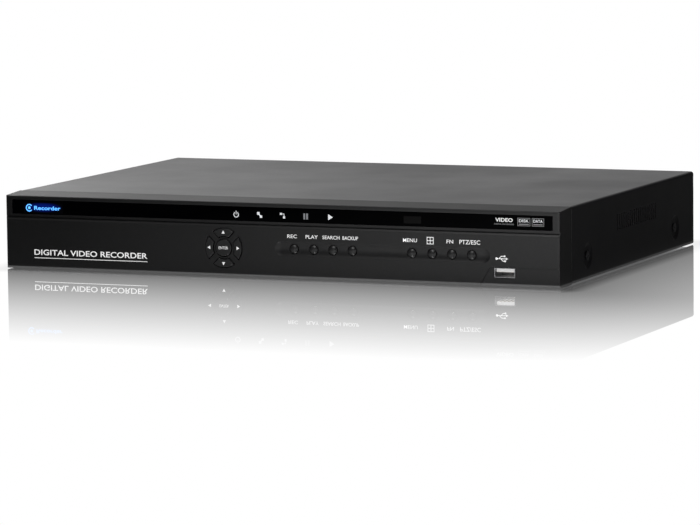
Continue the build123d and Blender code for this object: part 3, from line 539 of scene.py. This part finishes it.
def moved(outlines, x, z):
    # outlines drawn about the origin, put round (x, z)
    return [np.asarray(outline, float) + (x, z) for outline in outlines]


def hollowBox(x0, x1, z0, z1, line):
    # four strokes round a rectangle's edge
    return [rectangle(x0, x1, z0, z0 + line), rectangle(x0, x1, z1 - line, z1),
            rectangle(x0, x0 + line, z0 + line, z1 - line), rectangle(x1 - line, x1, z0 + line, z1 - line)]


def lettering(name, words, height, x, z, face, finish="whiteInkPaintedGlow", body=case, bold=0.0, facing=-1, fit=None):
    # text as a thin solid; height is that of its capitals, fit the width that it fills
    curve = bpy.data.curves.new(name, "FONT")
    curve.body, curve.size, curve.offset, curve.resolution_u, curve.extrude = words, 1.0, bold, 3, 0.05
    draft = addObject(name, curve)
    mesh = bpy.data.meshes.new_from_object(draft.evaluated_get(bpy.context.evaluated_depsgraph_get()))
    bpy.data.objects.remove(draft)
    work = bmesh.new()
    work.from_mesh(mesh)
    bmesh.ops.remove_doubles(work, verts=work.verts, dist=1e-5)
    work.to_mesh(mesh)
    work.free()
    flat = np.empty(len(mesh.vertices) * 3)
    mesh.vertices.foreach_get("co", flat)
    flat = flat.reshape(-1, 3)
    low, high = flat.min(0), flat.max(0)
    scale = height / (high[1] - low[1])
    across = scale if fit is None else fit / (high[0] - low[0])
    centre = (low + high) / 2
    layer = np.where(flat[:, 2] > 0, facing * inkOut, -facing * inkIn)
    placed = np.column_stack([x - facing * (flat[:, 0] - centre[0]) * across, face + layer,
                              z + (flat[:, 1] - centre[1]) * scale]) * mm
    mesh.vertices.foreach_set("co", placed.ravel())
    mesh.update()
    return bring(addObject(name, mesh), finish, body)


# Round keys
roundKey = {"nose": -0.5, "shoulder": 0.55, "radius": 2.7, "swell": 0.6, "lip": 0.22, "lipDeep": 0.3,
            "flange": 3.7, "flangeFrom": 3.1, "flangeTo": 3.9, "stem": 1.3, "tip": 4.9, "steps": 56}


def roundKeyProfile(k):
    # cap whose depth grows as 1 - sqrt(1 - swell t squared), a quarter-round lip, then skirt, flange and stem
    t = np.linspace(0, 1, 14)
    inner = k["radius"] - k["lip"]
    depth = (1 - np.sqrt(1 - k["swell"] * t ** 2)) / (1 - np.sqrt(1 - k["swell"]))
    cap = np.column_stack([inner * t, k["nose"] + (k["shoulder"] - k["nose"]) * depth])
    a = np.linspace(0.5, pi / 2, 5)
    lip = np.column_stack([inner + k["lip"] * np.sin(a), k["shoulder"] + k["lipDeep"] * (1 - np.cos(a))])
    rest = [(k["radius"], k["flangeFrom"]), (k["flange"], k["flangeFrom"]), (k["flange"], k["flangeTo"]),
            (k["stem"], k["flangeTo"]), (k["stem"], k["tip"]), (0, k["tip"])]
    return np.vstack([cap, lip, rest])


for node in ("key_record", "key_play", "key_search", "key_backup", "key_menu", "key_split", "key_function",
             "key_escape"):
    spot = middle(node)
    key = turned("turned_" + node, roundKeyProfile(roundKey), [(spot[0], frontFace, spot[2])], "keySatin", node,
                 roundKey["steps"])
    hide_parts(node)
print("round keys done")

# Front printing
title = {"left": -163.2, "right": -86.1, "height": 3.5, "rise": 9.0, "lineRise": 5.5, "line": 0.36}
lettering("title", "DIGITAL VIDEO RECORDER", title["height"], (title["left"] + title["right"]) / 2,
          underside + title["rise"], frontFace, bold=0.012, fit=title["right"] - title["left"])
lineLow = underside + title["lineRise"] - title["line"] / 2
plates("titleUnderline", [rectangle(title["left"], title["right"], lineLow, lineLow + title["line"])],
       frontFace, "whiteInkPaintedGlow")

# words over the round keys, each with its width; a slash stands taller than the capitals beside it
keyWords = {"rise": 7.8, "shift": -0.75, "height": 2.2, "slash": 1.18, "words": {
    "key_record": ("REC", 6.3), "key_play": ("PLAY", 8.0), "key_search": ("SEARCH", 11.2),
    "key_backup": ("BACKUP", 10.2), "key_menu": ("MENU", 9.0), "key_function": ("FN", 4.3),
    "key_escape": ("PTZ/ESC", 13.2)}}
for node, (words, wide) in keyWords["words"].items():
    spot = middle(node)
    height = keyWords["height"] * (keyWords["slash"] if "/" in words else 1)
    lettering("label_" + node, words, height, spot[0] + keyWords["shift"], spot[2] + keyWords["rise"],
              frontFace, bold=0.008, fit=wide)

# picture split in four: a frame with a cross in it
splitIcon = {"half": 2.2, "line": 0.42, "rise": 0.2}


def splitStrokes(x, z, half, line):
    inner = half - line
    return hollowBox(x - half, x + half, z - half, z + half, line) + [
        bar(x - inner, z, x + inner, z, line), bar(x, z - inner, x, z - line / 2, line),
        bar(x, z + line / 2, x, z + inner, line)]


spot = middle("key_split") + (keyWords["shift"], 0, keyWords["rise"] + splitIcon["rise"])
plates("label_key_split", splitStrokes(spot[0], spot[2], splitIcon["half"], splitIcon["line"]),
       frontFace, "whiteInkPaintedGlow")

arrow = {"reach": 1.15, "back": 0.75, "wide": 1.05, "radius": 9.5}
enterWord = {"height": 1.7, "wide": 6.2}
enter = middle("key_enter")
ways = {"key_up": (0, 1), "key_down": (0, -1), "key_left": (-1, 0), "key_right": (1, 0)}
for node, way in ways.items():
    way = np.array(way, float)
    side = np.array((-way[1], way[0])) * arrow["wide"]
    centre = enter[[0, 2]] + way * arrow["radius"]
    foot = centre - way * arrow["back"]
    shape = [centre + way * arrow["reach"], foot + side, foot - side]
    plates("arrow_" + node, [shape], span(node)[0][1], "whiteInkPaintedGlow", node)
lettering("enterWord", "ENTER", enterWord["height"], enter[0], enter[2], span("key_enter")[0][1],
          body="key_enter", fit=enterWord["wide"])

plug = {"x": 146.0, "rise": 15.0, "half": 3.9, "line": 0.45}


def plugStrokes(half, line):
    # plug pictogram about its middle: shaft with a round end, an arrow head and two side branches
    return [bar(0.6 - half, 0, half - 1.2, 0, line), disc(0.5 - half, 0, 0.75),
            [(half, 0), (half - 1.4, 0.75), (half - 1.4, -0.75)],
            bar(-1.8, 0.2, -0.4, 1.5, line), bar(-0.45, 1.5, 1.2, 1.5, line), rectangle(1.2, 2.2, 1.0, 2.0),
            bar(-0.6, -0.2, 0.6, -1.4, line), bar(0.55, -1.4, 1.5, -1.4, line), disc(2.0, -1.4, 0.6)]


plates("plugSign", moved(plugStrokes(plug["half"], plug["line"]), plug["x"], underside + plug["rise"]),
       frontFace, "whiteInkPaintedGlow")
print("front printing done")

# Window printing
lampZ = middle("indicator_lamps")[2]
powerSign = {"x": -26.2, "inner": 1.3, "outer": 1.75, "from": 122, "to": 418, "sunk": 0.2, "bar": 2.15}
powerRing = arcBand(0, -powerSign["sunk"], powerSign["inner"], powerSign["outer"],
                    powerSign["from"], powerSign["to"])
powerBar = bar(0, 0, 0, powerSign["bar"], powerSign["outer"] - powerSign["inner"])
plates("signPower", moved([powerRing, powerBar], powerSign["x"], lampZ), windowFace, "lampInk")

# the other signs, drawn about the middle of their lamp: two linked blocks, two wired blocks, two bars, a wedge
signs = {
    "signDisk": (-10.7, "lampInk", [rectangle(-1.6, 0.1, 0.1, 1.8), rectangle(0.2, 1.7, -1.7, -0.2),
                                    bar(-0.4, 0.4, 0.6, -0.6, 0.5)]),
    "signNetwork": (4.4, "lampInk", [rectangle(-1.6, -0.3, 0.5, 1.7), rectangle(0.4, 1.7, -1.7, -0.3),
                                     bar(-0.3, 1.1, 1.2, 1.1, 0.35), bar(1.05, 0.9, 1.05, -0.3, 0.35)]),
    "signPause": (19.7, "dimInk", [rectangle(-1.5, -0.35, -1.8, 1.8), rectangle(0.35, 1.5, -1.8, 1.8)]),
    "signPlay": (35.7, "lampInk", [[(-1.3, -1.8), (1.8, 0), (-1.3, 1.8)]]),
}
for name, (x, finish, outlines) in signs.items():
    plates(name, moved(outlines, x, lampZ), windowFace, finish)

haloMid = (emblem["left"] + emblem["wordRight"]) / 2
plates("emblemHalo", [rectangle(haloMid - emblem["haloWide"], haloMid + emblem["haloWide"],
                                lampZ - emblem["haloHigh"], lampZ + emblem["haloHigh"])],
       windowFace, "blueHalo", out=0.012)
ringX = emblem["left"] + emblem["ring"]
plates("emblemRing", [arcBand(ringX, lampZ, emblem["ring"] - emblem["line"], emblem["ring"], 40, 320),
                      disc(ringX, lampZ, emblem["dot"])], windowFace, "blueLight")
lettering("emblemWord", "Recorder", emblem["height"], (emblem["wordLeft"] + emblem["wordRight"]) / 2, lampZ,
          windowFace, "blueLight", bold=0.015, fit=emblem["wordRight"] - emblem["wordLeft"])

corner = {"x": 147.4, "word": ("VIDEO", 2.3, 38.2, 11.0), "small": ("DIGITAL RECORDING", 0.85, 35.7, 12.4)}
words, height, rise, wide = corner["word"]
lettering("cornerWord", words, height, corner["x"], underside + rise, windowFace, bold=0.02, fit=wide)
words, height, rise, wide = corner["small"]
lettering("cornerSmall", words, height, corner["x"], underside + rise, windowFace, "greyInkPaintedGlow", fit=wide)

# a badge is a frame with a word over a bar; the bar is inset from the frame and given by its foot and height
badge = {"low": 34.9, "high": 39.7, "line": 0.3, "inset": 0.9, "barFoot": 0.75, "bar": 0.6, "word": 1.75,
         "wordRise": 38.0, "spans": ((155.9, 163.9, "DISK"), (165.0, 172.6, "DATA"))}
for left, right, words in badge["spans"]:
    low, high = underside + badge["low"], underside + badge["high"]
    foot = low + badge["barFoot"]
    inner = (left + badge["inset"], right - badge["inset"])
    plates("badge_" + words, hollowBox(left, right, low, high, badge["line"])
           + [rectangle(*inner, foot, foot + badge["bar"])], windowFace, "greyInkPaintedGlow")
    lettering("badgeWord_" + words, words, badge["word"], (left + right) / 2, underside + badge["wordRise"],
              windowFace, "lampInk", bold=0.01, fit=inner[1] - inner[0])

receiver = {"x": middle("remote_receiver")[0], "wide": 5.6, "high": 2.2}
plates("receiverSpot", [rectangle(receiver["x"] - receiver["wide"], receiver["x"] + receiver["wide"],
                                  lampZ - receiver["high"], lampZ + receiver["high"])],
       windowFace, "receiverResin", out=0.015)
print("window printing done")

# Socket details
def gridPlaces(node, reach, columns):
    # middles of two rows of round sockets: x by column, z by row, each reach inside the node's box
    low, high = span(node)
    return np.linspace(low[0] + reach, high[0] - reach, columns), (low[2] + reach, high[2] - reach)


# sawtooth thread: the radius swings between root and crest every half pitch, closed along its bore
bnc = {"reach": 6.75, "bore": 4.1, "root": 4.28, "crest": 4.58, "from": 1.9, "turns": 9, "pitch": 0.42}
bncX, bncZ = gridPlaces("bnc_jacks", bnc["reach"], 4)
halfTurn = np.arange(2 * bnc["turns"] + 1)
radius = np.where(halfTurn % 2, bnc["crest"], bnc["root"])
depth = bnc["from"] + halfTurn * bnc["pitch"] / 2
bore = [(bnc["bore"], depth[i]) for i in (0, -1)]
thread = np.vstack([bore[0], np.column_stack([radius, depth]), bore[1], bore[0]])
turned("bncThreads", thread, [(x, rearFace, z) for x in bncX for z in bncZ], "nickelPlate",
       steps=32)

# coloured rings round the audio sockets, by column and row
rca = {"reach": 4.15,
       "ring": [(4.2, 0.9), (4.2, 2.1), (4.45, 2.35), (4.8, 2.2), (5.05, 1.6), (5.05, 0.9), (4.2, 0.9)],
       "colours": {"yellowPlastic": [(2, 1)], "redPlastic": [(1, 0), (1, 1)],
                   "whitePlastic": [(0, 0), (0, 1), (2, 0)]}}
rcaX, rcaZ = gridPlaces("rca_shells", rca["reach"], 3)
for finishName, spots in rca["colours"].items():
    turned("rcaRings_" + finishName, rca["ring"], [(rcaX[i], rearFace, rcaZ[j]) for i, j in spots], finishName)

# four flat contacts on the lower face of the front socket's tongue
contact = {"middle": 6.55, "pitch": 2.5, "wide": 1.0, "from": 2.0, "to": 11.0, "rise": 0.4, "thick": 0.12,
           "sunk": 0.05}
usbLow, usbHigh = span("front_usb_shell")
tongueZ = (usbLow[2] + usbHigh[2]) / 2 + contact["rise"]
contactX = usbLow[0] + contact["middle"] + (np.arange(4) - 1.5) * contact["pitch"]
lowEnd = (-contact["wide"] / 2, usbLow[1] + contact["from"], tongueZ - contact["thick"])
highEnd = (contact["wide"] / 2, usbLow[1] + contact["to"], tongueZ + contact["sunk"])
boxes("frontSocketContacts", [np.add((lowEnd, highEnd), (x, 0, 0)) for x in contactX], "goldFlash")

# the network socket's eight contacts and two lamps, measured from the middle, mouth and top of its shell
network = {"pitch": 1.02, "half": 0.2, "contactY": (-10.5, -3.0), "contactZ": (-4.4, -3.9),
           "lampX": 5.6, "lampHalf": 1.4, "lampY": (-0.6, 0.15), "lampZ": (-1.9, -0.5)}
lanX, (lanMouth, lanTop) = middle("lan_port")[0], span("lan_port")[1][1:]


def networkBoxes(places, half, depths, heights):
    (near, far), (low, high) = lanMouth + np.array(depths), lanTop + np.array(heights)
    return [((x - half, near, low), (x + half, far, high)) for x in places]


boxes("networkContacts", networkBoxes(lanX + (np.arange(8) - 3.5) * network["pitch"], network["half"],
                                      network["contactY"], network["contactZ"]), "goldFlash")
boxes("networkLamps", networkBoxes((lanX - network["lampX"], lanX + network["lampX"]), network["lampHalf"],
                                   network["lampY"], network["lampZ"]), "lampResin")

# Rear printing
rear = {"small": 1.9, "large": 2.2, "slash": 1.2, "bold": 0.02, "numberX": 8.2, "numberZ": 6.2, "over": 2.6,
        "under": 7.2, "lineOut": 1.2, "lineLow": 1.7, "line": 0.25, "audioOut": 1.0,
        "words": {"vga_port": "VGA", "hdmi_port": "HD VIDEO", "lan_port": "NETWORK", "rear_usb_port": "USB",
                  "terminal_block": "SENSOR IN / CONTROL", "dc_jack": "DC 12 V", "switch_frame": "POWER"},
        "underlined": ("vga_port", "hdmi_port", "lan_port", "rear_usb_port")}


def rearLettering(name, words, height, x, z, face=rearFace):
    lettering(name, words, height, x, z, face, "rearInk", bold=rear["bold"], facing=1)


for row, z in enumerate(reversed(bncZ)):
    for column, x in enumerate(bncX[::-1]):
        number = str(1 + column + 4 * row)
        rearLettering("videoNumber" + number, number, rear["small"], x + rear["numberX"], z + rear["numberZ"])
rearLettering("videoWord", "VIDEO IN", rear["large"], bncX.mean(), sum(bncZ) / 2)
# the block of audio sockets stands out of the panel, and its word with it
rearLettering("audioWord", "AUDIO IN", rear["small"], (rcaX[0] + rcaX[1]) / 2, sum(rcaZ) / 2,
              rearFace + rear["audioOut"])
for node, words in rear["words"].items():
    low, high = span(node)
    spot = (low + high) / 2
    # the words stand over their socket, those of the supply under it
    wordZ = spot[2] - rear["under"] if node == "dc_jack" else high[2] + rear["over"]
    height = rear["small"] * (rear["slash"] if "/" in words else 1)
    rearLettering("rearWord_" + node, words, height, spot[0], wordZ)
    if node in rear["underlined"]:
        half = (high[0] - low[0]) / 2 + rear["lineOut"]
        lineLow = wordZ - rear["lineLow"]
        plates("rearLine_" + node, [rectangle(spot[0] - half, spot[0] + half, lineLow, lineLow + rear["line"])],
               rearFace, "rearInk", facing=1)

# rocker marks, laid on the two sloping halves of the rocker: a stroke for on, a ring for off
rocker = {"tilt": 10.0, "low": 2.8, "high": 5.2, "reach": 7.6, "mark": 4.4, "stroke": (0.22, 1.2),
          "ring": (0.75, 1.15)}
pivot = next(np.array(joint["pos_m"]) / mm for joint in frame["record"]["behaviour"]["joints"]
             if joint["name"] == "power_rocker_tilt")


def onRocker(flat, half):
    # (x, along, out) measured on one half of the rocker, turned by its tilt into the case's frame
    slope = (rocker["high"] - rocker["low"]) / rocker["reach"]
    along = half * flat[:, 1]
    out = rocker["low"] + slope * flat[:, 1] + flat[:, 2]
    t = radians(rocker["tilt"])
    return np.column_stack([pivot[0] + flat[:, 0], pivot[1] - along * np.sin(t) + out * np.cos(t),
                            pivot[2] + along * np.cos(t) + out * np.sin(t)])


def rockerMark(name, outline, half):
    # thin slab astride one half of the rocker; half is 1 for the upper and -1 for the lower
    flat = np.asarray(outline, float)
    points = np.vstack([onRocker(np.insert(flat, 2, level, axis=1), half) for level in (inkOut, -inkIn)])
    bring(solid(name, points, slabFaces(len(flat))), "rearInk", "power_rocker")


halfWide, halfLong = rocker["stroke"]
rockerMark("rockerOn", rectangle(-halfWide, halfWide, rocker["mark"] - halfLong, rocker["mark"] + halfLong), -1)
rockerMark("rockerOff", arcBand(0, rocker["mark"], *rocker["ring"], 0, 359.5, 40), 1)
print("rear done")

# Floor, lights, camera
# contact, contactFrom and contactTo set the painted contact shadow on the floor: how dark it is, and where it
# starts and ends away from the case
studio = {"floorSize": 14.0, "toMatt": 0.35, "nearPower": 0.5, "nearReach": 0.014, "sheenLeft": -0.20,
          "sheenRight": 0.14, "sheenLow": 0.02, "sheenHigh": 3.6, "sheenFull": -0.16, "sheenEnd": -0.12,
          "sheenRest": 0.02, "mirrorNear": 0.82, "mirrorFar": 0.31, "contact": 0.25, "contactFrom": 0.003,
          "contactTo": 0.018}


def makeFloor():
    # white sheet, polished close round the case and fading to matt further out;
    # away is the distance outside the case's box: the root of the two overhangs' squares
    f = Finish("paleFloor")
    high = cadBounds[1]
    x, y = f.axis("X"), f.axis("Y")
    outX = f.maths("MAXIMUM", f.maths("ABSOLUTE", x) - high.x, 0.0)
    outY = f.maths("MAXIMUM", f.maths("ABSOLUTE", y) - high.y, 0.0)
    away = (outX * outX + outY * outY) ** 0.5
    polish = f.between(away, 0.0, studio["mirrorFar"], studio["mirrorNear"], 0.0)
    # painted contact shadow: the glow of the floor that the camera sees dims close round the case
    contact = f.between(away, studio["contactFrom"], studio["contactTo"], studio["contact"], 1.0)
    near = f.between(away, 0.0, studio["nearReach"], studio["nearPower"], 0.0)
    # sheen for the front: grows from left to right, only before the case
    sheen = f.between(x, studio["sheenLeft"], studio["sheenRight"], studio["sheenLow"], studio["sheenHigh"]) \
        * f.between(y, studio["sheenFull"], studio["sheenEnd"], 1.0, studio["sheenRest"])
    seen = f.add("LightPath", output="Is Camera Ray")
    toGloss = f.add("LightPath", output="Is Glossy Ray")
    other = toGloss * (sheen + near) + (1.0 - toGloss) * (studio["toMatt"] + near)
    power = seen * contact + (1.0 - seen) * other
    glow = f.add("Emission", None, {"Color": (1, 1, 1, 1), "Strength": power})
    mirror = f.add("BsdfGlossy", None, {"Color": (1, 1, 1, 1), "Roughness": 0.0})
    sheet = f.add("MixShader", None, {0: polish, 1: glow, 2: mirror})
    # clear from below, so that the underside can be seen
    below = f.add("NewGeometry", output="Backfacing")
    clear = f.add("BsdfTransparent")
    f.add("OutputMaterial", None, {"Surface": f.add("MixShader", None, {0: below, 1: sheet, 2: clear})})
    return f.owner


half = studio["floorSize"] / 2
floorMesh = bpy.data.meshes.new("floor")
floorMesh.from_pydata([(-half, -half, 0), (half, -half, 0), (half, half, 0), (-half, half, 0)], [],
                      [(0, 1, 2, 3)])
floorMesh.materials.append(makeFloor())
addObject("floor", floorMesh)

sky = {"low": 0.015, "bright": 0.80, "azimuth": (-0.62, 0.785), "from": 0.70, "to": 0.95, "top": 0.20,
       "topFrom": 0.25, "topTo": 0.95, "matt": 0.16}


def makeSky():
    # white to the eye and in the floor; on the case bright behind on the left,
    # dim elsewhere and for matt surfaces
    world = bpy.context.scene.world or bpy.data.worlds.new("studio")
    bpy.context.scene.world = world
    f = Finish("studio", world)
    way = f.add("TexCoord", output="Generated")
    x, y, z = [f.add("SeparateXYZ", None, {0: way}, output=i) for i in (0, 1, 2)]
    flat = f.maths("MAXIMUM", (x * x + y * y) ** 0.5, 0.001)
    toward = (x * sky["azimuth"][0] + y * sky["azimuth"][1]) / flat
    side = f.between(toward, sky["from"], sky["to"])
    above = f.between(z, sky["topFrom"], sky["topTo"])
    horizon = sky["low"] + (sky["bright"] - sky["low"]) * side
    reflected = horizon * (1 - above) + sky["top"] * above
    # white straight from the camera and once mirrored in the floor, where the world counts one bounce more
    singular = f.add("LightPath", output="Is Singular Ray")
    once = f.maths("LESS_THAN", f.add("LightPath", output="Ray Depth"), 2.5)
    seen = f.maths("MAXIMUM", f.add("LightPath", output="Is Camera Ray"), singular * once)
    matt = f.add("LightPath", output="Is Diffuse Ray")
    power = f.maths("MAXIMUM", seen, reflected * (1 - matt) + sky["matt"] * matt)
    background = f.add("Background", None, {"Color": (1, 1, 1, 1), "Strength": power})
    f.add("OutputWorld", None, {"Surface": background})


makeSky()


def softbox(name, place, target, size, power):
    light = bpy.data.lights.new(name, "AREA")
    light.shape, light.size, light.size_y, light.energy = "RECTANGLE", size[0], size[1], power
    obj = addObject(name, light)
    obj.location = place
    obj.rotation_euler = (Vector(target) - Vector(place)).to_track_quat("-Z", "Y").to_euler()


softbox("underLight", (0.3, -0.4, -0.9), (0.0, 0.0, 0.0), (0.6, 0.6), 6.0)
softbox("keyLight", (0.08, -0.56, 0.90), (0.16, -0.13, 0.02), (0.30, 0.30), 4.6)
softbox("coverLight", (-0.55, 0.55, 0.62), (-0.12, 0.0, 0.05), (0.5, 0.5), 1.2)
softbox("rearLight", (-0.95, 0.75, 0.45), (0.0, 0.12, 0.03), (0.5, 0.4), 4.5)

# yaw, pitch and roll of the camera, and its place from the middle of the front's foot line
shot = {"yaw": 22.516, "pitch": 6.527, "roll": -0.643, "x": 1074.0, "back": 2474.1, "up": 315.95, "lens": 230.4,
        "sensor": 36.0, "near": 0.05, "far": 60}
camera = addObject("camera", bpy.data.cameras.new("camera"))
camera.data.lens, camera.data.sensor_width = shot["lens"], shot["sensor"]
camera.data.clip_start, camera.data.clip_end = shot["near"], shot["far"]
turn = Matrix.Rotation(radians(shot["yaw"]), 4, "Z") @ Matrix.Rotation(radians(90 - shot["pitch"]), 4, "X") \
    @ Matrix.Rotation(radians(shot["roll"]), 4, "Z")
stand = Vector((shot["x"], frontFace - shot["back"], underside + shot["up"])) * mm
camera.matrix_world = Matrix.Translation(stand) @ turn
bpy.context.scene.camera = camera
bpy.context.scene.view_settings.view_transform = "Standard"
print("studio done")
